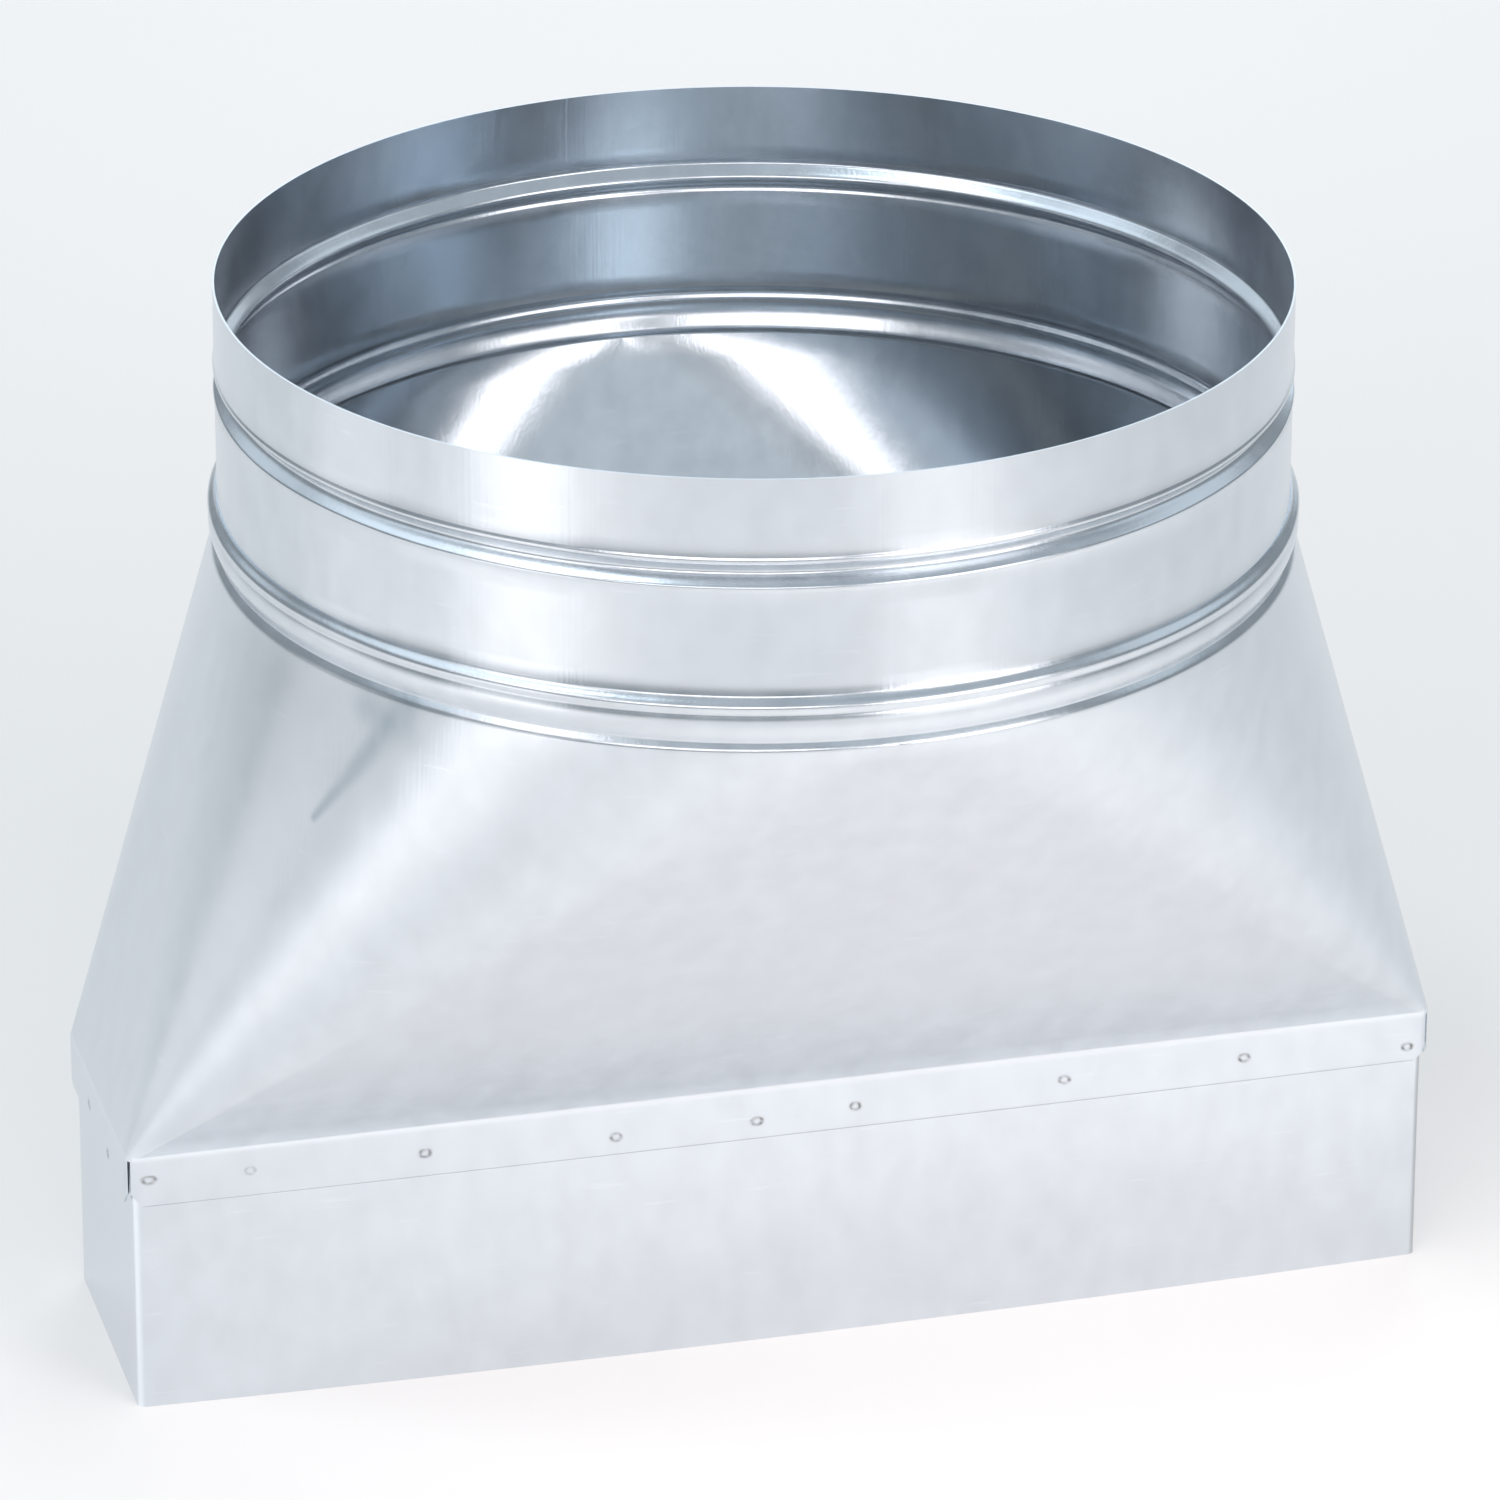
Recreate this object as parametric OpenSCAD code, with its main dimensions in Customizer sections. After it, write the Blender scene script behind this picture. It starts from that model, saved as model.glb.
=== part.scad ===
/* [Sheet] */
// Thickness of the galvanised sheet
sheet = 0.6; // [0.5:0.1:1.2]
// Gap left between two sheets that are pressed together
press_gap = 0.1; // [0.05:0.05:0.3]

/* [Round collar] */
// Inside diameter of the round socket
socket_bore = 315.2; // [250:0.1:360]
// Straight depth of the socket, from the rim down to the stop bead
socket_depth = 23.5; // [15:0.25:60]
// Plain band between the stop bead and the swaged joint
band_height = 31.25; // [20:0.25:80]

/* [Beads] */
// Shape of every bead: 1 is a plain wave, less is rounder
bead_fullness = 0.7; // [0.6:0.05:1]

/* [Stop bead] */
// Height of the groove that is rolled into the collar
stop_height = 7; // [5:0.5:12]
// How far the groove reaches into the bore
stop_depth = 3; // [1:0.25:5]
// Height of the small lip above and below the groove
lip_height = 2.5; // [1.5:0.25:6]
// How far each lip stands out from the collar
lip_proud = 0.45; // [0.1:0.05:1]

/* [Swaged joint] */
// Height of the neck that grips the round collar
neck_height = 14.2; // [12:0.1:24]
// Height of the narrow upper bead
upper_bead_height = 5; // [3:0.5:7]
// How far the upper bead stands out
upper_bead_proud = 1.6; // [0.5:0.1:3]
// How far the broad lower bead stands out
lower_bead_proud = 2.1; // [0.5:0.1:4]
// Height of the shoulder that turns the neck out into the transition
shoulder_height = 2.3; // [1.8:0.1:4]
// How far the shoulder steps out from the collar
shoulder_proud = 2.3; // [1.9:0.1:4]

/* [Transition] */
// Height of the square-to-round transition
rise = 161.5; // [120:0.5:260]
// Height of the four flanges below the crease
flange_height = 16; // [10:0.5:25]
// Stand-off between the flanges and the rectangular collar
flange_gap = 0.3; // [0.1:0.05:0.6]
// How much further the two short flanges stand off, at the ends
end_slack = 1; // [0:0.25:2]
// Width of the slit between two flanges at a corner
slit_width = 1; // [0.5:0.1:2]
// Width cut off each flange at its lower corners
corner_cut = 3; // [1:0.5:6]
// Height of that cut
corner_cut_rise = 4.5; // [2:0.5:8]

/* [Rectangular collar] */
// Outside width of the rectangular collar
duct_width = 400; // [340:1:500]
// Outside depth of the rectangular collar
duct_depth = 88; // [60:1:150]
// Height of the crease above the free edge
crease_height = 83; // [60:0.5:150]
// Outside radius of the folded corners
fold_radius = 2.5; // [1.5:0.25:8]
// How far the free edge of each long wall springs outward at its middle
wall_bow = 4; // [0:0.5:8]

/* [Hidden] */

$fn = 96;
quarter_steps = 24;
fold_steps = 4;
bow_steps = 16;
wall_rows = 6;
flange_rows = 2;
bead_step = 1;
past = 3;

// Heights of the levels, from the free edge of the rectangular collar up
neck_foot = crease_height + rise;
neck_bottom = neck_foot + shoulder_height;
neck_top = neck_bottom + neck_height;
stop_bottom = neck_top + band_height;
lip_overlap = lip_height / 4;
bead_belt = stop_height + 2 * (lip_height - lip_overlap);
rim = stop_bottom + bead_belt + socket_depth;
collar_end = neck_bottom;

// Middle of each bead
stop_middle = stop_bottom + bead_belt / 2;
lip_offset = (stop_height + lip_height) / 2 - lip_overlap;
lower_bead_height = neck_height - 1;
lower_bead_middle = neck_bottom + lower_bead_height / 2;
upper_bead_middle = neck_top - upper_bead_height / 2;

// Radii of the round part
bore_radius = socket_bore / 2;
collar_radius = bore_radius + sheet;
neck_bore = collar_radius + press_gap;
foot_radius = collar_radius + shoulder_proud;
foot_margin = 0.25;
foot_half_height = 0.5;

// Outline of the crease, which the flanges carry down
crease_offset = flange_gap + sheet;
crease_half_depth = duct_depth / 2 + crease_offset;
long_lean = atan((foot_radius - crease_half_depth) / rise);
wall_across = sheet / cos(long_lean);
inner_crease_lift = sheet * tan(long_lean / 2);
collar_headroom = 1;

// A smooth swelling: full height at its middle, nothing at half its width
function swelling(z, middle, width, proud) =
    abs(z - middle) < width / 2
        ? proud * pow((1 + cos(360 * (z - middle) / width)) / 2, bead_fullness)
        : 0;

// How far the rolled beads move the round sheet out at height z
function rolled(z) =
    swelling(z, upper_bead_middle, upper_bead_height, upper_bead_proud)
    + swelling(z, lower_bead_middle, lower_bead_height, lower_bead_proud)
    - swelling(z, stop_middle, stop_height, stop_depth)
    + swelling(z, stop_middle + lip_offset, lip_height, lip_proud)
    + swelling(z, stop_middle - lip_offset, lip_height, lip_proud);

// Heights at which a beaded stretch is sampled
function stretch(from, to) =
    let (steps = ceil((to - from) / bead_step))
    [for (i = [0 : steps]) from + (to - from) * i / steps];

function reversed(list) = [for (i = [len(list) - 1 : -1 : 0]) list[i]];

// Corner arc of the duct's outline, for one quarter turn
function fold_arc(half_w, half_d, radius, quarter) =
    let (side_x = quarter == 0 || quarter == 3 ? 1 : -1)
    let (side_y = quarter < 2 ? 1 : -1)
    [for (i = [0 : fold_steps])
        let (turn = 90 * (quarter + i / fold_steps))
        [side_x * (half_w - radius) + radius * cos(turn),
         side_y * (half_d - radius) + radius * sin(turn)]];

// Inner points of a long wall, which bows out between its corners
function bowed_wall(half_w, half_d, radius, side_y, bow) =
    [for (i = [1 : bow_steps - 1])
        let (across = 1 - 2 * i / bow_steps)
        [side_y * across * (half_w - radius),
         side_y * (half_d + bow * (1 - across * across))]];

// Spring of the long walls: none at the crease, full at the free edge
function spring(z) = wall_bow * (1 - pow(max(z, 0) / crease_height, 2));

// Outline of the duct at height z, grown outward by "out" and longer by "slack" at each end
function duct_ring(z, out, bow, slack = 0) =
    let (half_w = duct_width / 2 + out + slack)
    let (half_d = duct_depth / 2 + out)
    let (radius = fold_radius + out)
    [for (p = concat(
        fold_arc(half_w, half_d, radius, 0),
        bowed_wall(half_w, half_d, radius, 1, bow),
        fold_arc(half_w, half_d, radius, 1),
        fold_arc(half_w, half_d, radius, 2),
        bowed_wall(half_w, half_d, radius, -1, bow),
        fold_arc(half_w, half_d, radius, 3))) [p[0], p[1], z]];

function round_ring(z, radius) =
    [for (i = [0 : 4 * quarter_steps - 1])
        let (turn = 90 * i / quarter_steps)
        [radius * cos(turn), radius * sin(turn), z]];

// Two triangles for each stretch between a ring and the one above it
function ring_band(count, lower, upper) =
    [for (i = [0 : count - 1])
        let (next = (i + 1) % count)
        each [[lower + i, upper + i, lower + next], [lower + next, upper + i, upper + next]]];

// Solid through rings of equally many points, from the lowest up
module stacked_rings(rings) {
    count = len(rings[0]);
    top = len(rings) - 1;
    polyhedron(
        points = [for (r = rings) each r],
        faces = concat(
            [[for (i = [0 : count - 1]) i]],
            [for (k = [0 : top - 1]) each ring_band(count, k * count, (k + 1) * count)],
            [[for (i = [count - 1 : -1 : 0]) top * count + i]]),
        convexity = 6);
}

module rectangular_collar() {
    collar_top = crease_height - collar_headroom;
    color("gainsboro")
    intersection() {
        difference() {
            stacked_rings([for (k = [0 : wall_rows])
                let (z = -past + (collar_top + 2 * past) * k / wall_rows)
                duct_ring(z, 0, spring(z))]);
            stacked_rings([for (k = [0 : wall_rows])
                let (z = -2 * past + (collar_top + 4 * past) * k / wall_rows)
                duct_ring(z, -sheet, spring(z))]);
        }
        translate([-duct_width, -duct_width, 0])
            cube([2 * duct_width, 2 * duct_width, collar_top]);
    }
}

// Where a corner arc starts in the duct's outline
function arc_start(quarter) =
    quarter * (fold_steps + 1) + (quarter > 0 ? bow_steps - 1 : 0) + (quarter > 2 ? bow_steps - 1 : 0);

// Corner cone: each point of the fold's arc fans out to its share of the circle
function cone_faces(quarter, duct, circle) =
    let (share = quarter_steps / fold_steps)
    [for (j = [0 : fold_steps - 1])
        let (low = duct + arc_start(quarter) + j)
        let (high = quarter * quarter_steps + j * share)
        each concat(
            [for (k = [0 : share - 1])
                [low, circle + high + k, circle + (high + k + 1) % (4 * quarter_steps)]],
            [[low, circle + (high + share) % (4 * quarter_steps), low + 1]])];

// Flat triangle: one wall of the duct runs up to a single point of the circle
function flat_faces(quarter, duct, circle, count) =
    let (first = arc_start(quarter) + fold_steps)
    let (last = quarter < 3 ? arc_start(quarter + 1) : count)
    let (peak = circle + (quarter + 1) * quarter_steps % (4 * quarter_steps))
    [for (m = [first : last - 1]) [duct + m, peak, duct + (m + 1) % count]];

// Solid from the duct's outline up to the round neck
module funnel(duct_rings, round_rings) {
    duct_count = len(duct_rings[0]);
    round_count = len(round_rings[0]);
    crease = (len(duct_rings) - 1) * duct_count;
    circle = crease + duct_count;
    lid = circle + (len(round_rings) - 1) * round_count;
    polyhedron(
        points = [for (r = concat(duct_rings, round_rings)) each r],
        faces = concat(
            [[for (i = [0 : duct_count - 1]) i]],
            [for (k = [0 : len(duct_rings) - 2]) each ring_band(duct_count, k * duct_count, (k + 1) * duct_count)],
            [for (q = [0 : 3]) each concat(
                cone_faces(q, crease, circle),
                flat_faces(q, crease, circle, duct_count))],
            len(round_rings) > 1 ? ring_band(round_count, circle, circle + round_count) : [],
            [[for (i = [round_count - 1 : -1 : 0]) lid + i]]),
        convexity = 6);
}

// Folded and rolled sheet from the flanges' edge up to the foot of the neck
module funnel_sheet() {
    flange_edge = crease_height - flange_height;
    difference() {
        funnel(
            [for (k = [0 : flange_rows])
                let (z = flange_edge + flange_height * k / flange_rows)
                duct_ring(z, crease_offset, spring(z), end_slack)],
            [round_ring(neck_foot, foot_radius)]);
        funnel(
            [for (k = [-1 : flange_rows])
                let (z = flange_edge + flange_height * k / flange_rows)
                let (lift = k == flange_rows ? inner_crease_lift : 0)
                duct_ring(z + lift, flange_gap, spring(z), end_slack)],
            [round_ring(neck_foot, foot_radius - wall_across),
             round_ring(neck_foot + past, foot_radius - wall_across)]);
    }
}

// Slit that parts two flanges at a corner and trims their lower ends
module corner_slit() {
    flange_edge = crease_height - flange_height;
    slit_top = crease_height - collar_headroom;
    below = corner_cut * (1 + past / corner_cut_rise);
    rotate([90, 0, 90])
        linear_extrude(height = 6 * fold_radius, center = true)
            polygon([
                [slit_width / 2, slit_top],
                [slit_width / 2, flange_edge + corner_cut_rise],
                [slit_width / 2 + below, flange_edge - past],
                [-slit_width / 2 - below, flange_edge - past],
                [-slit_width / 2, flange_edge + corner_cut_rise],
                [-slit_width / 2, slit_top]]);
}

// Beaded neck that grips the round collar, with the shoulder it stands on
module neck() {
    heights = stretch(neck_bottom, neck_top);
    foot_outside = foot_radius + foot_margin;
    foot_inside = foot_radius - wall_across - foot_margin;
    rotate_extrude()
        polygon(concat(
            [for (z = heights) [neck_bore + rolled(z), z]],
            [for (z = reversed(heights)) [neck_bore + sheet + rolled(z), z]],
            [[foot_outside, neck_foot + foot_half_height + sheet / 2],
             [foot_outside, neck_foot - foot_half_height],
             [foot_inside, neck_foot - foot_half_height],
             [foot_inside, neck_foot + foot_half_height],
             [neck_bore, neck_bottom - sheet / 2]]));
}

module transition() {
    corner_x = duct_width / 2 + end_slack - fold_radius;
    corner_y = duct_depth / 2 - fold_radius;
    color("lightgray")
    union() {
        difference() {
            funnel_sheet();
            for (side_x = [-1, 1], side_y = [-1, 1])
                translate([side_x * corner_x, side_y * corner_y, 0])
                    rotate([0, 0, 45 * side_x * side_y + (side_x < 0 ? 180 : 0)])
                        corner_slit();
        }
        neck();
    }
}

module round_collar() {
    heights = concat(
        stretch(collar_end, neck_top),
        stretch(stop_bottom, stop_bottom + bead_belt),
        [rim]);
    color("silver")
    rotate_extrude()
        polygon(concat(
            [for (z = heights) [bore_radius + rolled(z), z]],
            [for (z = reversed(heights)) [collar_radius + rolled(z), z]]));
}

round_collar();
transition();
rectangular_collar();
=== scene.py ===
import math

import bmesh
import bpy
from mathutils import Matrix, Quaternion, Vector, noise


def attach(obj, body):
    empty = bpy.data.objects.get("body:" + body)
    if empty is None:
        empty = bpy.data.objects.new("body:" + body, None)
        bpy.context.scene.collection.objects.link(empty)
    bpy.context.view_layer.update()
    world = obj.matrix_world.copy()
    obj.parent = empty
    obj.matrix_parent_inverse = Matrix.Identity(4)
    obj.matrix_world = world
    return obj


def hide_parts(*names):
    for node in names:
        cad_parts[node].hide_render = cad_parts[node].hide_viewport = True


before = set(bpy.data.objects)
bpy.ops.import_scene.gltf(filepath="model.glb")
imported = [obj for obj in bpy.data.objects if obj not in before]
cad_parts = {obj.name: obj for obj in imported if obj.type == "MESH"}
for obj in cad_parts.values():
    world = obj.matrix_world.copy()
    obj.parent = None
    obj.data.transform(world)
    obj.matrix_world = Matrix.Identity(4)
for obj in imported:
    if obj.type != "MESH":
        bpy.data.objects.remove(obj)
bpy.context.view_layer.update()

MM = 0.001

# Sizes of the adapter in millimetres, as in its drawing
SHEET = 0.6
BORE_RADIUS = 157.6
COLLAR_RADIUS = 158.2
NECK_RADIUS = 158.9
FOOT_RADIUS = 160.5
RIM = 326.5
NECK_TOP = 261.0
NECK_BOTTOM = 246.8
NECK_FOOT = 244.5
CREASE = 83.0
FLANGE_EDGE = 67.0
DUCT_HALF_WIDTH = 200.0
DUCT_HALF_DEPTH = 44.0
FOLD_RADIUS = 2.5
WALL_BOW = 4.0
FLANGE_OFFSET = 0.9
END_SLACK = 1.0
SLEEVE_TOP = 82.0
SLIT_WIDTH = 1.0
CORNER_CUT = 3.0
CORNER_CUT_RISE = 4.5

# Beads that are rolled into the round sheet: middle, height, how far each stands out
BEADS = [
    (258.5, 5.0, 1.6),
    (253.4, 13.2, 2.1),
    (297.625, 7.0, -3.0),
    (301.75, 2.5, 0.45),
    (293.5, 2.5, 0.45),
]
BEAD_FULLNESS = 0.7
STOP_BELT_BOTTOM = 292.25
STOP_BELT_TOP = 303.0

# Spot welds along a long flange: place across it, height, how much wider than high, how dark
FRONT_WELDS = [
    (-194.2, 75.8, 1.6, 0.85),
    (-163.9, 75.3, 1.2, 0.35),
    (-111.4, 74.5, 1.35, 0.95),
    (-53.5, 72.7, 1.25, 0.9),
    (-10.3, 72.7, 1.35, 0.95),
    (20.1, 73.9, 1.2, 0.9),
    (85.2, 74.5, 1.3, 0.85),
    (141.8, 74.8, 1.3, 1.0),
    (193.7, 72.0, 1.25, 0.9),
]
# Spot welds along a short flange, in the same form
SIDE_WELDS = [(-15.6, 71.1, 1.0, 0.9), (13.1, 73.6, 1.2, 0.8)]
WELD_RADIUS = 1.6
WELD_DEPTH = 0.14

# Edges sharper than this stay crisp
SHARP_ANGLE = math.radians(38)

QUARTER_STEPS = 48
FUNNEL_ROWS = 24
FOLD_ROWS = 6
FOLD_REACH = 1.3
# Width and depth of the rounded lower edge that the shears leave on a flange
SHEARED_EDGE = 0.45
SHEARED_DEPTH = 0.3
# Painted highlight along the folds, and painted shade along a cut edge and along the sleeve's right
# folds
LONG_FOLD_HIGHLIGHT = 1.0
SHORT_FOLD_HIGHLIGHT = 0.25
CUT_EDGE_PAINTED_SHADE = 0.45
RIGHT_FOLD_PAINTED_SHADE = 0.35
# How far the flat sheets wander in and out
WANDER = 0.16


def swelling(z, middle, height, proud):
    if abs(z - middle) >= height / 2:
        return 0.0
    rise = (1 + math.cos(2 * math.pi * (z - middle) / height)) / 2
    return proud * rise**BEAD_FULLNESS


def rolled(z):
    """How far the beads move the round sheet out at height z."""
    return sum(swelling(z, *bead) for bead in BEADS)


def spring(z):
    """How far the long walls spring out at height z, at their middle."""
    return WALL_BOW * (1 - (max(z, 0.0) / CREASE) ** 2)


def steps(start, end, size):
    count = max(1, math.ceil(abs(end - start) / size))
    return [start + (end - start) * i / count for i in range(count + 1)]


def unsteady(x, y, z, scale, seed):
    """Smooth wander between -1 and 1 over the sheet."""
    return noise.noise(Vector((x / scale + seed, y / scale - seed, z / scale + 2 * seed)))


# ---------------------------------------------------------------- outlines


def wall_stations(half, welds):
    """Stations along a wall from one fold to the other: fine at each weld, wide between."""
    places = set()
    for i in range(17):
        places.add(round(-half + 2 * half * i / 16, 3))
    for weld in welds:
        for i in range(-8, 9):
            place = weld + i * 0.45
            if abs(place) < half:
                places.add(round(place, 3))
    kept = []
    for place in sorted(places):
        if not kept or place - kept[-1] > 0.2:
            kept.append(place)
    return [p for p in kept if abs(p) < half - 0.2]


def outline_columns():
    """Columns once round the duct. Each is (quarter, share of the fold, place on the wall)."""
    half_x = DUCT_HALF_WIDTH - FOLD_RADIUS
    half_y = DUCT_HALF_DEPTH - FOLD_RADIUS
    front = [weld[0] for weld in FRONT_WELDS]
    side = [weld[0] for weld in SIDE_WELDS]
    columns = []
    for quarter in range(4):
        columns += [(quarter, i / QUARTER_STEPS, None) for i in range(QUARTER_STEPS + 1)]
        if quarter == 0:
            columns += [(0, 1.0, x) for x in reversed(wall_stations(half_x, front))]
        if quarter == 1:
            columns += [(1, 1.0, y) for y in reversed(wall_stations(half_y, side))]
        if quarter == 2:
            columns += [(2, 1.0, x) for x in wall_stations(half_x, front)]
        if quarter == 3:
            columns += [(3, 1.0, y) for y in wall_stations(half_y, side)]
    return columns


def duct_point(column, out, z, slack=0.0):
    """Place of a column on the duct's outline at height z, grown by out, longer by slack."""
    quarter, share, wall = column
    if wall is not None:
        if quarter in (0, 2):
            reach = 1 - (wall / (DUCT_HALF_WIDTH - FOLD_RADIUS)) ** 2
            y = DUCT_HALF_DEPTH + out + spring(z) * reach
            longer = 1 + slack / (DUCT_HALF_WIDTH - FOLD_RADIUS)
            return Vector((wall * longer, y if quarter == 0 else -y, z))
        x = DUCT_HALF_WIDTH + out + slack
        return Vector((x if quarter == 3 else -x, wall, z))
    side_x = 1 if quarter in (0, 3) else -1
    side_y = 1 if quarter < 2 else -1
    turn = math.pi / 2 * (quarter + share)
    radius = FOLD_RADIUS + out
    return Vector(
        (
            side_x * (DUCT_HALF_WIDTH + slack - FOLD_RADIUS) + radius * math.cos(turn),
            side_y * (DUCT_HALF_DEPTH - FOLD_RADIUS) + radius * math.sin(turn),
            z,
        )
    )


def round_point(column, radius, z):
    quarter, share, _ = column
    turn = math.pi / 2 * (quarter + share)
    return Vector((radius * math.cos(turn), radius * math.sin(turn), z))


# ---------------------------------------------------------------- transition


def weld_mark(place, z, welds):
    """Depth of the spot welds' dishes at this place of a flange, and how dark the scorch is."""
    depth = 0.0
    scorch_and_shade = 0.0
    for middle, height, stretch, dark in welds:
        across = (place - middle) / stretch
        far = math.hypot(across, z - height) / WELD_RADIUS
        if far < 1.45:
            dish = math.exp(-(((far - 0.62) / 0.26) ** 2))
            lip = math.exp(-(((far - 1.1) / 0.18) ** 2))
            depth += WELD_DEPTH * dish - 0.25 * WELD_DEPTH * lip
            lobes = 0.75 + 0.25 * math.cos(2 * math.atan2(z - height, across))
            ring = math.exp(-(((far - 0.72) / 0.24) ** 2))
            patchy = 0.8 + 0.9 * unsteady(middle + across, 0, z, 0.9, 4)
            scorch_and_shade = max(scorch_and_shade, min(1.0, dark * lobes * ring * patchy))
    return depth, scorch_and_shade


def flange_heights():
    """Heights of the flange's rows: fine where the welds sit."""
    top = CREASE - FOLD_REACH
    edge = FLANGE_EDGE + SHEARED_EDGE
    heights = steps(top, 78.2, 0.7) + steps(78.2, 69.0, 0.45)[1:] + steps(69.0, edge, 0.8)[1:]
    return heights + steps(edge, FLANGE_EDGE, SHEARED_EDGE / 3)[1:]


def transition_rows(column):
    """Points of one column, from the neck's lip down to the flange's free edge."""
    rows = []
    for z in steps(NECK_TOP, NECK_BOTTOM, 0.4):
        rows.append(round_point(column, NECK_RADIUS + rolled(z), z))
    foot = round_point(column, FOOT_RADIUS, NECK_FOOT)
    shoulder = round_point(column, NECK_RADIUS, NECK_BOTTOM)
    crease = duct_point(column, FLANGE_OFFSET, CREASE, END_SLACK)
    down = (crease - foot).normalized()
    bend = foot + Vector((0, 0, 0.3))
    ridge_start = shoulder + (bend - shoulder) * 0.62
    ridge_end = foot + down * 0.9
    for share in (0.3, 0.62):
        rows.append(shoulder + (bend - shoulder) * share)
    for i in range(1, 6):
        t = i / 5
        rows.append(ridge_start * (1 - t) ** 2 + bend * 2 * t * (1 - t) + ridge_end * t**2)
    fold_start = crease - down * FOLD_REACH
    aside = Vector((foot.x, foot.y, 0)).normalized()
    for i in range(1, FUNNEL_ROWS + 1):
        t = i / FUNNEL_ROWS
        place = ridge_end + (fold_start - ridge_end) * t
        sway = unsteady(*place, 70, 3) * WANDER * math.sin(math.pi * t)
        rows.append(place + aside * sway)
    fold_end = duct_point(column, FLANGE_OFFSET, CREASE - FOLD_REACH, END_SLACK)
    for i in range(1, FOLD_ROWS + 1):
        t = i / FOLD_ROWS
        rows.append(fold_start * (1 - t) ** 2 + crease * 2 * t * (1 - t) + fold_end * t**2)
    outward = duct_point(column, FLANGE_OFFSET + 1, CREASE, END_SLACK) - crease
    quarter, _, wall = column
    for z in flange_heights()[1:]:
        depth = 0.0
        if wall is not None:
            depth, _ = weld_mark(wall, z, FRONT_WELDS if quarter in (0, 2) else SIDE_WELDS)
        turned_in = max(0.0, 1 - (z - FLANGE_EDGE) / SHEARED_EDGE)
        depth += SHEARED_DEPTH * turned_in**2
        rows.append(duct_point(column, FLANGE_OFFSET, z, END_SLACK) - outward * depth)
    return rows


def mark_welds(bm):
    """Notes at each corner of the mesh how dark a spot weld is, how strong the painted highlight along
    a fold is, and the painted shade along the cut edge.
    """
    scorch_and_shade = bm.verts.layers.float.new("scorch_and_shade")
    painted_fold_highlight = bm.verts.layers.float.new("painted_fold_highlight")
    longer = 1 + END_SLACK / (DUCT_HALF_WIDTH - FOLD_RADIUS)
    for vert in bm.verts:
        x, y, z = vert.co / MM
        # Painted highlight along the crease fold, stronger on the long sides
        long_side = abs(x) < DUCT_HALF_WIDTH
        bright = LONG_FOLD_HIGHLIGHT if long_side else SHORT_FOLD_HIGHLIGHT
        vert[painted_fold_highlight] = bright * math.exp(-(((z - CREASE) / (0.75 * FOLD_REACH)) ** 2))
        if z < CREASE - FOLD_REACH and abs(x) < DUCT_HALF_WIDTH:
            vert[scorch_and_shade] = weld_mark(x / longer, z, FRONT_WELDS)[1]
        elif z < CREASE - FOLD_REACH and abs(y) < DUCT_HALF_DEPTH:
            vert[scorch_and_shade] = weld_mark(y, z, SIDE_WELDS)[1]
        # Painted shade along the flange's cut lower edge
        if z < FLANGE_EDGE + SHEARED_EDGE / 2:
            vert[scorch_and_shade] = CUT_EDGE_PAINTED_SHADE


def stacked_sheet(name, columns):
    """Sheet through equally long columns of points: a ring, then ring by ring extruded from it."""
    bm = bmesh.new()
    count = len(columns)
    bmesh.ops.create_circle(bm, cap_ends=False, segments=count, radius=1.0)
    bm.verts.ensure_lookup_table()
    ring = list(bm.verts)
    edges = list(bm.edges)
    for vert, column in zip(ring, columns):
        vert.co = column[0] * MM
    for row in range(1, len(columns[0])):
        made = bmesh.ops.extrude_edge_only(bm, edges=edges)["geom"]
        above = {v: i for i, v in enumerate(ring)}
        fresh = [e for e in made if isinstance(e, bmesh.types.BMVert)]
        edges = [
            e
            for e in made
            if isinstance(e, bmesh.types.BMEdge) and all(v not in above for v in e.verts)
        ]
        ring = [None] * count
        for vert in fresh:
            upper = next(
                other for e in vert.link_edges for other in e.verts if other in above
            )
            index = above[upper]
            ring[index] = vert
            vert.co = columns[index][row] * MM
    return bm


def finish_sheet(bm, name, material, thickness):
    """Closes coinciding columns, turns the faces out and gives the sheet its thickness."""
    bmesh.ops.remove_doubles(bm, verts=bm.verts, dist=0.00001)
    bmesh.ops.recalc_face_normals(bm, faces=bm.faces)
    mesh = bpy.data.meshes.new(name)
    bm.to_mesh(mesh)
    bm.free()
    for face in mesh.polygons:
        face.use_smooth = True
    piece = bpy.data.objects.new(name, mesh)
    bpy.context.scene.collection.objects.link(piece)
    if thickness:
        wall = piece.modifiers.new("sheet thickness", "SOLIDIFY")
        wall.thickness = thickness * MM
        wall.offset = -1
        wall.use_rim = True
        solid = piece.evaluated_get(bpy.context.evaluated_depsgraph_get())
        piece.data = bpy.data.meshes.new_from_object(solid)
        piece.modifiers.clear()
    piece.data.set_sharp_from_angle(angle=SHARP_ANGLE)
    piece.data.materials.append(material)
    return piece


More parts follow.
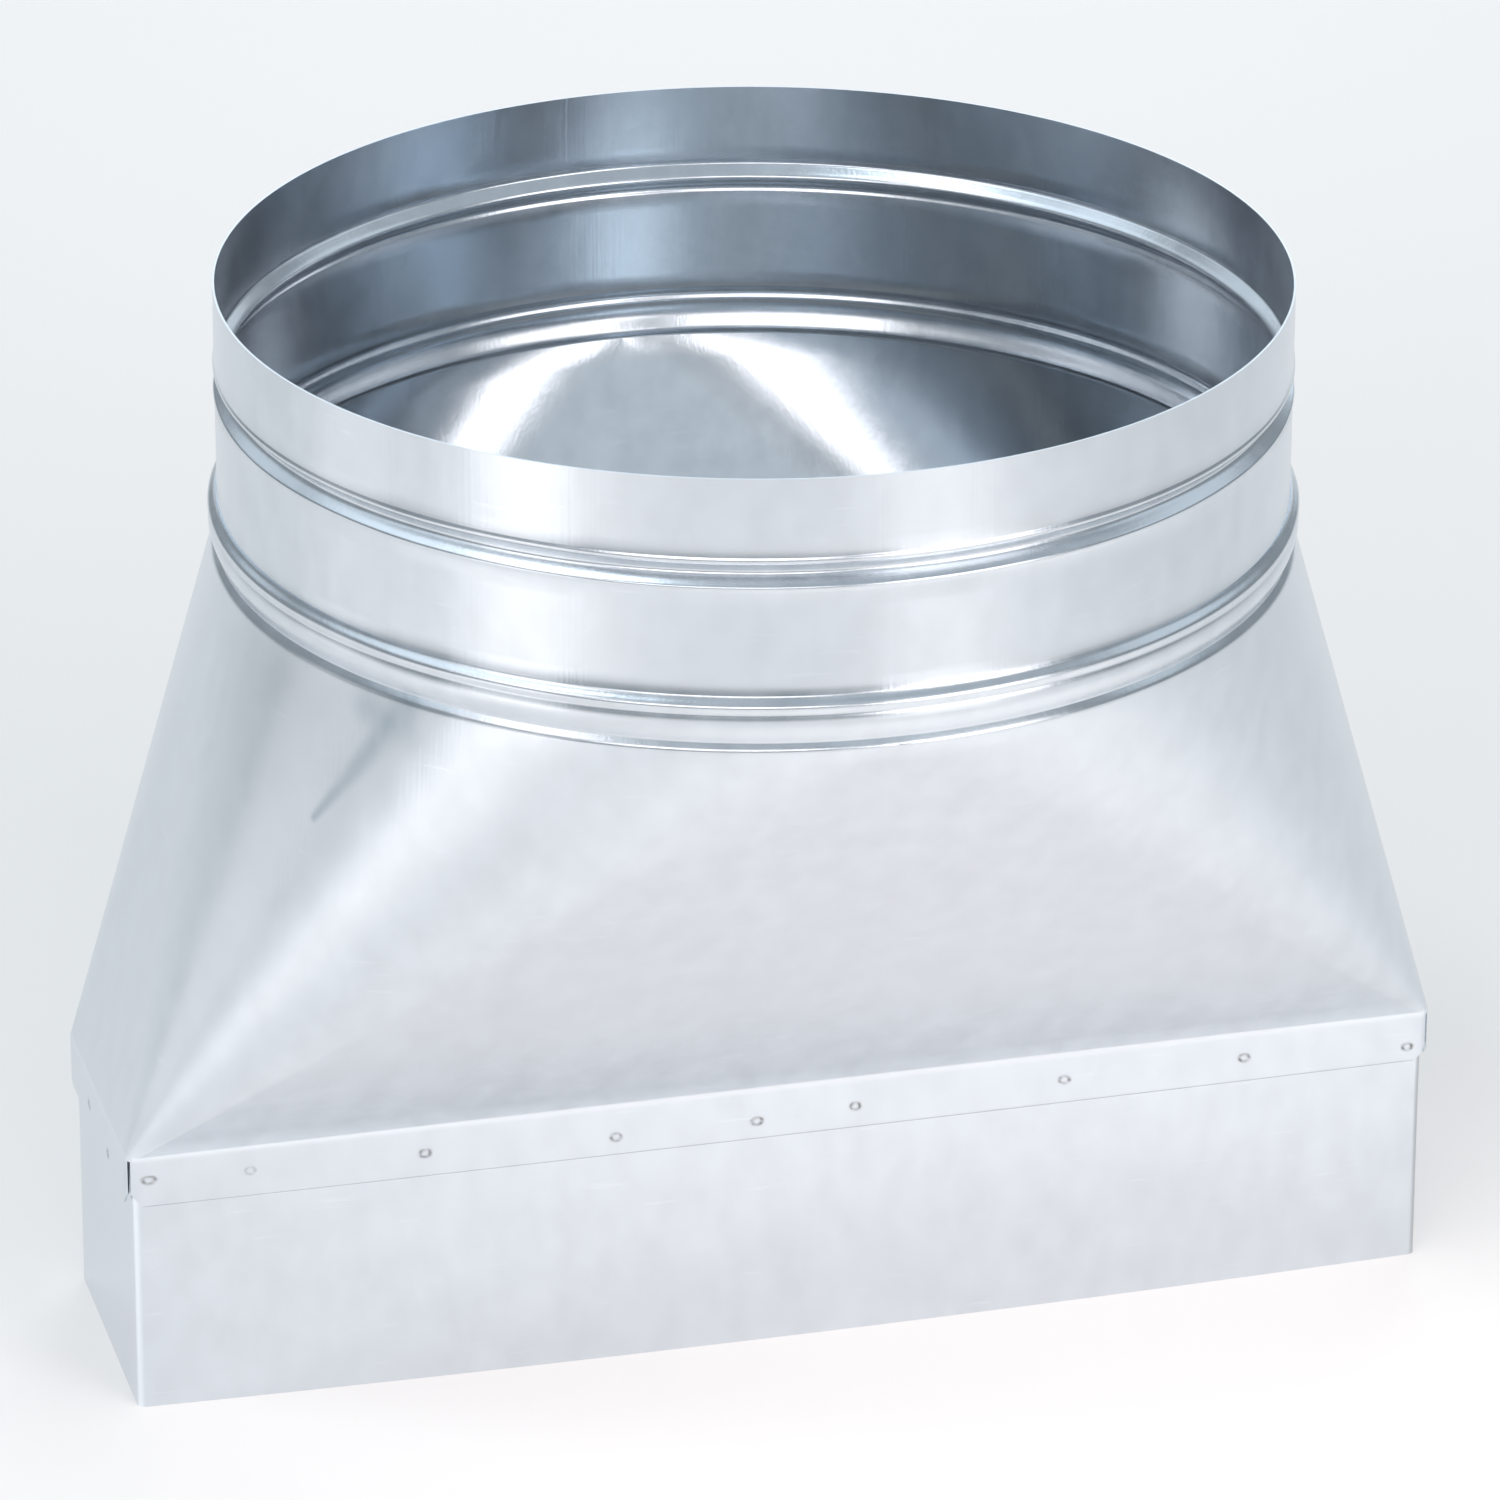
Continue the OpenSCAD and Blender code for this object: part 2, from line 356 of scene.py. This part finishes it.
def cut_slits(bm):
    """Slits between the flanges at the four corners, with their lower ends trimmed."""
    for side_x in (-1, 1):
        for side_y in (-1, 1):
            corner = Vector(
                (
                    side_x * (DUCT_HALF_WIDTH + END_SLACK - FOLD_RADIUS) * MM,
                    side_y * (DUCT_HALF_DEPTH - FOLD_RADIUS) * MM,
                    0,
                )
            )
            across = Vector((side_x, -side_y, 0)).normalized()
            for side in (-1, 1):
                edge_at = corner + across * side * SLIT_WIDTH / 2 * MM
                near = [
                    f
                    for f in bm.faces
                    if (f.calc_center_median() - corner).xy.length < 0.012
                    and f.calc_center_median().z < (CREASE - 1) * MM
                ]
                geometry = list(
                    {v for f in near for v in f.verts}
                    | {e for f in near for e in f.edges}
                ) + near
                bmesh.ops.bisect_plane(
                    bm, geom=geometry, dist=1e-7, plane_co=edge_at, plane_no=across * side
                )
                near = [
                    f
                    for f in bm.faces
                    if (f.calc_center_median() - corner).xy.length < 0.012
                    and f.calc_center_median().z < (CREASE - 1) * MM
                    and (f.calc_center_median() - edge_at).dot(across * side) > 0
                ]
                geometry = list(
                    {v for f in near for v in f.verts}
                    | {e for f in near for e in f.edges}
                ) + near
                slope = (
                    across * side * CORNER_CUT_RISE + Vector((0, 0, CORNER_CUT))
                ).normalized()
                start = edge_at + Vector((0, 0, (FLANGE_EDGE + CORNER_CUT_RISE) * MM))
                bmesh.ops.bisect_plane(
                    bm,
                    geom=geometry,
                    dist=1e-7,
                    plane_co=start,
                    plane_no=slope,
                    clear_inner=True,
                )
            gone = [
                f
                for f in bm.faces
                if (f.calc_center_median() - corner).xy.length < 0.012
                and f.calc_center_median().z < (CREASE - 1) * MM
                and abs((f.calc_center_median() - corner).dot(across)) < SLIT_WIDTH / 2 * MM
            ]
            bmesh.ops.delete(bm, geom=gone, context="FACES")


def transition_sheet(material):
    columns = [transition_rows(c) for c in outline_columns()]
    bm = stacked_sheet("transition_sheet", columns)
    cut_slits(bm)
    upper = [v for v in bm.verts if v.co.z > 0.1]
    bmesh.ops.remove_doubles(bm, verts=upper, dist=0.0001)
    mark_welds(bm)
    return finish_sheet(bm, "transition_sheet", material, SHEET)


# ---------------------------------------------------------------- flat collar


def sleeve_rows(column):
    rows = []
    for z in steps(SLEEVE_TOP, 0.0, 5.0):
        place = duct_point(column, 0, z)
        outward = duct_point(column, 1, z) - place
        share = math.sin(math.pi * min(1.0, z / CREASE))
        sway = (unsteady(*place, 80, 9) - 1) * WANDER * share
        rows.append(place + outward * sway)
    return rows


def rectangular_collar_sheet(material):
    columns = [sleeve_rows(c) for c in outline_columns()]
    bm = stacked_sheet("rectangular_collar_sheet", columns)
    painted_fold_highlight = bm.verts.layers.float.new("painted_fold_highlight")
    painted_shade = bm.verts.layers.float.new("scorch_and_shade")
    for vert in bm.verts:
        x, y, _ = vert.co / MM
        past = Vector((abs(x) - DUCT_HALF_WIDTH + FOLD_RADIUS, abs(y) - DUCT_HALF_DEPTH + FOLD_RADIUS))
        if past.x > 0 and past.y > 0:
            share = math.sin(2 * math.atan2(past.y, past.x)) ** 2
            # Painted highlight down the sleeve's left corner folds
            if x < 0:
                vert[painted_fold_highlight] = LONG_FOLD_HIGHLIGHT * share
            # Painted shade down the sleeve's right corner folds
            else:
                vert[painted_shade] = RIGHT_FOLD_PAINTED_SHADE * share
    return finish_sheet(bm, "rectangular_collar_sheet", material, SHEET)


# ---------------------------------------------------------------- round collar


def round_collar_sheet(material):
    """Profile of both walls, spun once round."""
    heights = (
        steps(NECK_BOTTOM, NECK_TOP, 0.4)
        + steps(NECK_TOP, STOP_BELT_BOTTOM, 6.0)[1:]
        + steps(STOP_BELT_BOTTOM, STOP_BELT_TOP, 0.3)[1:]
        + steps(STOP_BELT_TOP, RIM, 5.0)[1:]
    )
    profile = [(COLLAR_RADIUS + rolled(z), z) for z in heights]
    profile += [(BORE_RADIUS + rolled(z), z) for z in reversed(heights)]
    bm = bmesh.new()
    first = bm.verts.new((profile[0][0] * MM, 0, profile[0][1] * MM))
    last = first
    for radius, z in profile[1:]:
        made = bmesh.ops.extrude_vert_indiv(bm, verts=[last])["verts"][0]
        made.co = Vector((radius * MM, 0, z * MM))
        last = made
    bm.edges.new((last, first))
    bmesh.ops.spin(
        bm,
        geom=list(bm.verts) + list(bm.edges),
        cent=(0, 0, 0),
        axis=(0, 0, 1),
        angle=2 * math.pi,
        steps=256,
        use_merge=True,
    )
    for vert in bm.verts:
        x, y, z = vert.co / MM
        aside = Vector((vert.co.x, vert.co.y, 0)).normalized()
        share = math.sin(math.pi * min(1.0, max(0.0, (z - NECK_TOP) / (RIM - NECK_TOP))))
        vert.co += aside * unsteady(x, y, 0.4 * z, 45, 6) * 0.7 * WANDER * MM * share
    return finish_sheet(bm, "round_collar_sheet", material, 0)


# ---------------------------------------------------------------- zinc finish

DULL_ZINC = (0.683, 0.723, 0.764)
BRIGHT_ZINC = (0.737, 0.779, 0.824)
# Bright of the scratches, also painted as highlight along the folds
SCRATCH_AND_HIGHLIGHT_ZINC = (0.9, 0.95, 0.99)
# Dark of the smudge, also painted as a streak of shade down the left cone
SHADE_AND_SMUDGE = (0.38, 0.46, 0.52)
# Dark of the weld scorch, also painted as shade along cut edges and the sleeve's right folds
SCORCH_AND_SHADE_DARK = (0.1, 0.09, 0.08)
SMOOTHEST = 0.22
ROUGHEST = 0.262

# Dark marks, the first a painted streak of shade down the left cone, the second a smudge: start, end,
# width at each, strength
SHADE_AND_SMUDGE_MARKS = [
    ((-127.0, -98.0, 243.5), (-150.5, -78.0, 203.0), 8.0, 2.2, 0.6),
    ((-136.0, -86.0, 240.0), (-127.0, -99.0, 236.0), 9.0, 8.0, 0.4),
]


def noise_field(nodes, links, place, stretch, detail):
    """Noise over the object, with its own fineness along each axis."""
    mapping = nodes.new("ShaderNodeMapping")
    mapping.inputs["Scale"].default_value = stretch
    field = nodes.new("ShaderNodeTexNoise")
    field.inputs["Scale"].default_value = 1.0
    field.inputs["Detail"].default_value = detail
    links.new(place, mapping.inputs["Vector"])
    links.new(mapping.outputs["Vector"], field.inputs["Vector"])
    return field.outputs["Fac"]


def spread(nodes, links, value, low, high, start, end, kind="LINEAR"):
    """Maps a value from low..high to start..end."""
    node = nodes.new("ShaderNodeMapRange")
    node.interpolation_type = kind
    node.inputs["From Min"].default_value = low
    node.inputs["From Max"].default_value = high
    node.inputs["To Min"].default_value = start
    node.inputs["To Max"].default_value = end
    links.new(value, node.inputs["Value"])
    return node.outputs["Result"]


def blend(nodes, links, factor, under, over):
    """Lays the colour over upon the colour under, by factor."""
    node = nodes.new("ShaderNodeMix")
    node.data_type = "RGBA"
    node.inputs["B"].default_value = (*over, 1)
    links.new(factor, node.inputs["Factor"])
    links.new(under, node.inputs["A"])
    return node.outputs["Result"]


def streak(nodes, links, place, start, end, wide, narrow):
    """Mark from start to end that narrows, 1 along its middle and 0 outside."""
    along = (Vector(end) - Vector(start)) * MM
    offset = nodes.new("ShaderNodeVectorMath")
    offset.operation = "SUBTRACT"
    offset.inputs[1].default_value = Vector(start) * MM
    links.new(place, offset.inputs[0])
    share = nodes.new("ShaderNodeVectorMath")
    share.operation = "DOT_PRODUCT"
    share.inputs[1].default_value = along / along.length_squared
    links.new(offset.outputs["Vector"], share.inputs[0])
    held = spread(nodes, links, share.outputs["Value"], 0, 1, 0, 1)
    foot = nodes.new("ShaderNodeVectorMath")
    foot.operation = "SCALE"
    foot.inputs[0].default_value = along
    links.new(held, foot.inputs["Scale"])
    gap = nodes.new("ShaderNodeVectorMath")
    gap.operation = "DISTANCE"
    links.new(offset.outputs["Vector"], gap.inputs[0])
    links.new(foot.outputs["Vector"], gap.inputs[1])
    width = spread(nodes, links, held, 0, 1, wide * MM, narrow * MM)
    ratio = nodes.new("ShaderNodeMath")
    ratio.operation = "DIVIDE"
    links.new(gap.outputs["Value"], ratio.inputs[0])
    links.new(width, ratio.inputs[1])
    return spread(nodes, links, ratio.outputs["Value"], 0, 1, 1, 0, "SMOOTHSTEP")


def product(nodes, links, first, second):
    node = nodes.new("ShaderNodeMath")
    node.operation = "MULTIPLY"
    links.new(first, node.inputs[0])
    links.new(second, node.inputs[1])
    return node.outputs["Value"]


def zinc_coat(name):
    """Bright zinc coating: grain up the sheet, cloudy patches, scratches, weld scorch and a smudge,
    with painted highlight along the folds and painted shade down the left cone, along cut edges and on
    the sleeve's right folds.
    """
    material = bpy.data.materials.new(name)
    material.use_nodes = True
    nodes = material.node_tree.nodes
    links = material.node_tree.links
    shader = nodes["Principled BSDF"]
    shader.inputs["Metallic"].default_value = 1.0
    place = nodes.new("ShaderNodeTexCoord").outputs["Object"]

    grain = noise_field(nodes, links, place, (900, 900, 14), 3)
    cloud = noise_field(nodes, links, place, (110, 110, 70), 3)
    hairline = noise_field(nodes, links, place, (60, 60, 900), 2)

    tint = nodes.new("ShaderNodeMix")
    tint.data_type = "RGBA"
    tint.inputs["A"].default_value = (*DULL_ZINC, 1)
    tint.inputs["B"].default_value = (*BRIGHT_ZINC, 1)
    links.new(spread(nodes, links, cloud, 0.3, 0.7, 0, 1), tint.inputs["Factor"])
    colour = tint.outputs["Result"]

    scratched = spread(nodes, links, hairline, 0.66, 0.74, 0, 0.18)
    colour = blend(nodes, links, scratched, colour, SCRATCH_AND_HIGHLIGHT_ZINC)
    # Painted highlight along the folds
    painted_fold_highlight = nodes.new("ShaderNodeAttribute")
    painted_fold_highlight.attribute_name = "painted_fold_highlight"
    colour = blend(nodes, links, painted_fold_highlight.outputs["Fac"], colour, SCRATCH_AND_HIGHLIGHT_ZINC)
    # Dark marks: a painted streak of shade down the left cone, and a smudge
    for start, end, wide, narrow, strength in SHADE_AND_SMUDGE_MARKS:
        mark = streak(nodes, links, place, start, end, wide, narrow)
        uneven = spread(nodes, links, cloud, 0.3, 0.6, 0.45 * strength, strength)
        colour = blend(nodes, links, product(nodes, links, mark, uneven), colour, SHADE_AND_SMUDGE)
    # Weld scorch, with painted shade along the flange's cut edge and the sleeve's right folds
    scorch_and_shade = nodes.new("ShaderNodeAttribute")
    scorch_and_shade.attribute_name = "scorch_and_shade"
    colour = blend(nodes, links, scorch_and_shade.outputs["Fac"], colour, SCORCH_AND_SHADE_DARK)
    links.new(colour, shader.inputs["Base Color"])

    polish = spread(nodes, links, cloud, 0.3, 0.7, SMOOTHEST, ROUGHEST)
    links.new(polish, shader.inputs["Roughness"])

    lines = nodes.new("ShaderNodeBump")
    lines.inputs["Strength"].default_value = 0.15
    lines.inputs["Distance"].default_value = 0.0002
    links.new(grain, lines.inputs["Height"])
    links.new(lines.outputs["Normal"], shader.inputs["Normal"])
    return material


# ---------------------------------------------------------------- studio

CAMERA_TARGET = Vector((-14.0, -50.1, 196.7)) * MM
CAMERA_AZIMUTH = math.radians(-14.82)
CAMERA_ELEVATION = math.radians(24.26)
CAMERA_ROLL = math.radians(0.19)
CAMERA_DISTANCE = 2.623
CAMERA_LENS = 8955 / 1500 * 36


def add_camera():
    back = Vector(
        (
            math.sin(CAMERA_AZIMUTH) * math.cos(CAMERA_ELEVATION),
            -math.cos(CAMERA_AZIMUTH) * math.cos(CAMERA_ELEVATION),
            math.sin(CAMERA_ELEVATION),
        )
    )
    data = bpy.data.cameras.new("camera")
    data.lens = CAMERA_LENS
    data.sensor_width = 36
    data.clip_end = 50
    camera = bpy.data.objects.new("camera", data)
    bpy.context.scene.collection.objects.link(camera)
    camera.location = CAMERA_TARGET + back * CAMERA_DISTANCE
    camera.rotation_mode = "QUATERNION"
    turn = back.to_track_quat("Z", "Y")
    roll = Quaternion((0, 0, 1), CAMERA_ROLL)
    camera.rotation_quaternion = turn @ roll
    bpy.context.scene.camera = camera


def add_floor():
    bm = bmesh.new()
    bmesh.ops.create_grid(bm, x_segments=1, y_segments=1, size=8)
    mesh = bpy.data.meshes.new("floor")
    bm.to_mesh(mesh)
    bm.free()
    floor = bpy.data.objects.new("floor", mesh)
    bpy.context.scene.collection.objects.link(floor)
    paint = bpy.data.materials.new("white_floor")
    paint.use_nodes = True
    shader = paint.node_tree.nodes["Principled BSDF"]
    shader.inputs["Base Color"].default_value = (0.94, 0.9, 0.865, 1)
    shader.inputs["Roughness"].default_value = 0.9
    shader.inputs["Emission Color"].default_value = (1, 1, 1, 1)
    shader.inputs["Emission Strength"].default_value = FLOOR_GLOW
    mesh.materials.append(paint)


FLOOR_GLOW = 0.07
STUDIO_RADIUS = 3.0
STUDIO_CENTRE = Vector((0, 0, 0.2))
WARM = (1.055, 1.0, 1.0)
COOL = (0.88, 0.99, 1.08)

# Soft boxes far off: name, azimuth, elevation, width, height, brightness
SOFT_BOXES = [
    ("right_low_box", 30, 9, 1.59, 0.95, 1.9),
    ("front_left_box", -30, 27, 1.43, 0.95, 2.2),
    ("front_right_box", 32, 30, 1.43, 0.95, 2.0),
    ("left_high_box", -65, 40, 1.13, 1.0, 1.6),
    ("crease_box", 15, 15, 0.7, 0.6, 3.2),
    ("inner_streak_box", -7, 28, 0.75, 0.9, 2.3),
]
# Cooler ones that fill in, in the same form
FILL_BOXES = [
    ("back_right_low_box", 150, 9, 1.59, 0.95, 1.02),
    ("back_box", -180, 27, 1.43, 0.95, 0.8),
    ("back_left_box", -150, 27, 1.43, 0.95, 0.5),
    ("back_right_box", 150, 27, 1.43, 0.95, 0.64),
    ("left_back_high_box", -108, 47, 2.2, 1.2, 0.7),
    ("right_high_box", 95, 35, 2.0, 1.1, 0.5),
    ("front_high_box", 18, 46, 1.13, 1.0, 0.15),
    ("back_high_box", 155, 47, 1.0, 0.8, 2.2),
    ("left_top_box", -82, 66, 1.0, 0.8, 4.0),
]

# Upright strips close by: name, azimuth, brightness
STRIPS = [
    ("far_left_strip", -100, 0.22),
    ("left_strip", -60, 0.6),
    ("right_strip", 20, 0.3),
]
STRIP_REACH = 0.85

# Panels overhead that face straight down: name, azimuth, reach, height, size, brightness
OVERHEAD_PANELS = [
    ("left_overhead", -50, 0.89, 0.25, 0.14, 3.0),
    ("left_near_overhead", -65.5, 0.6, 0.25, 0.14, 3.4),
    ("right_near_overhead", 48, 0.33, 0.24, 0.2, 1.5),
    ("near_overhead", 0, 0.29, 0.24, 0.2, 1.4),
    ("right_overhead", 27, 0.82, 0.25, 0.14, 1.6),
    ("background_overhead", 165, 1.25, 0.7, 0.9, 0.4),
]
WORLD_GLOW = 0.32
CEILING = (3.0, 5.0, 0.2)


def toward(azimuth, elevation):
    """Direction from the adapter to a place in the studio."""
    turn = math.radians(azimuth)
    rise = math.radians(elevation)
    return Vector(
        (math.sin(turn) * math.cos(rise), -math.cos(turn) * math.cos(rise), math.sin(rise))
    )


def add_panel(name, place, target, width, height, radiance, colour=WARM):
    """Soft light panel of even brightness, which faces its target."""
    data = bpy.data.lights.new(name, "AREA")
    data.shape = "RECTANGLE"
    data.size = width
    data.size_y = height
    data.color = colour
    data.energy = radiance * math.pi * width * height
    light = bpy.data.objects.new(name, data)
    bpy.context.scene.collection.objects.link(light)
    light.location = place
    light.rotation_mode = "QUATERNION"
    light.rotation_quaternion = (place - target).to_track_quat("Z", "Y")
    light.visible_camera = False


def light_studio():
    world = bpy.data.worlds.new("studio")
    world.use_nodes = True
    backdrop = world.node_tree.nodes["Background"]
    backdrop.inputs["Color"].default_value = (*COOL, 1)
    backdrop.inputs["Strength"].default_value = WORLD_GLOW
    bpy.context.scene.world = world
    for boxes, colour in ((SOFT_BOXES, WARM), (FILL_BOXES, COOL)):
        for name, azimuth, elevation, width, height, radiance in boxes:
            place = STUDIO_CENTRE + toward(azimuth, elevation) * STUDIO_RADIUS
            add_panel(name, place, STUDIO_CENTRE, width, height, radiance, colour)
    height, size, radiance = CEILING
    add_panel("ceiling", Vector((0, 0, height)), Vector(), size, size, radiance, COOL)
    stand = Vector((0, 0, 0.225))
    for name, azimuth, radiance in STRIPS:
        place = stand + toward(azimuth, 0) * STRIP_REACH
        add_panel(name, place, stand, 0.3, 0.45, radiance)
    for name, azimuth, reach, height, size, radiance in OVERHEAD_PANELS:
        place = toward(azimuth, 0) * reach + Vector((0, 0, height))
        below = place - Vector((0, 0, 1))
        add_panel(name, place, below, size, size, radiance)


zinc = zinc_coat("galvanised_zinc")
for piece, node in (
    (round_collar_sheet(zinc), "round_collar"),
    (transition_sheet(zinc), "transition"),
    (rectangular_collar_sheet(zinc), "rectangular_collar"),
):
    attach(piece, "root")
    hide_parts(node)

add_floor()
light_studio()
add_camera()
bpy.context.scene.view_settings.view_transform = "Standard"
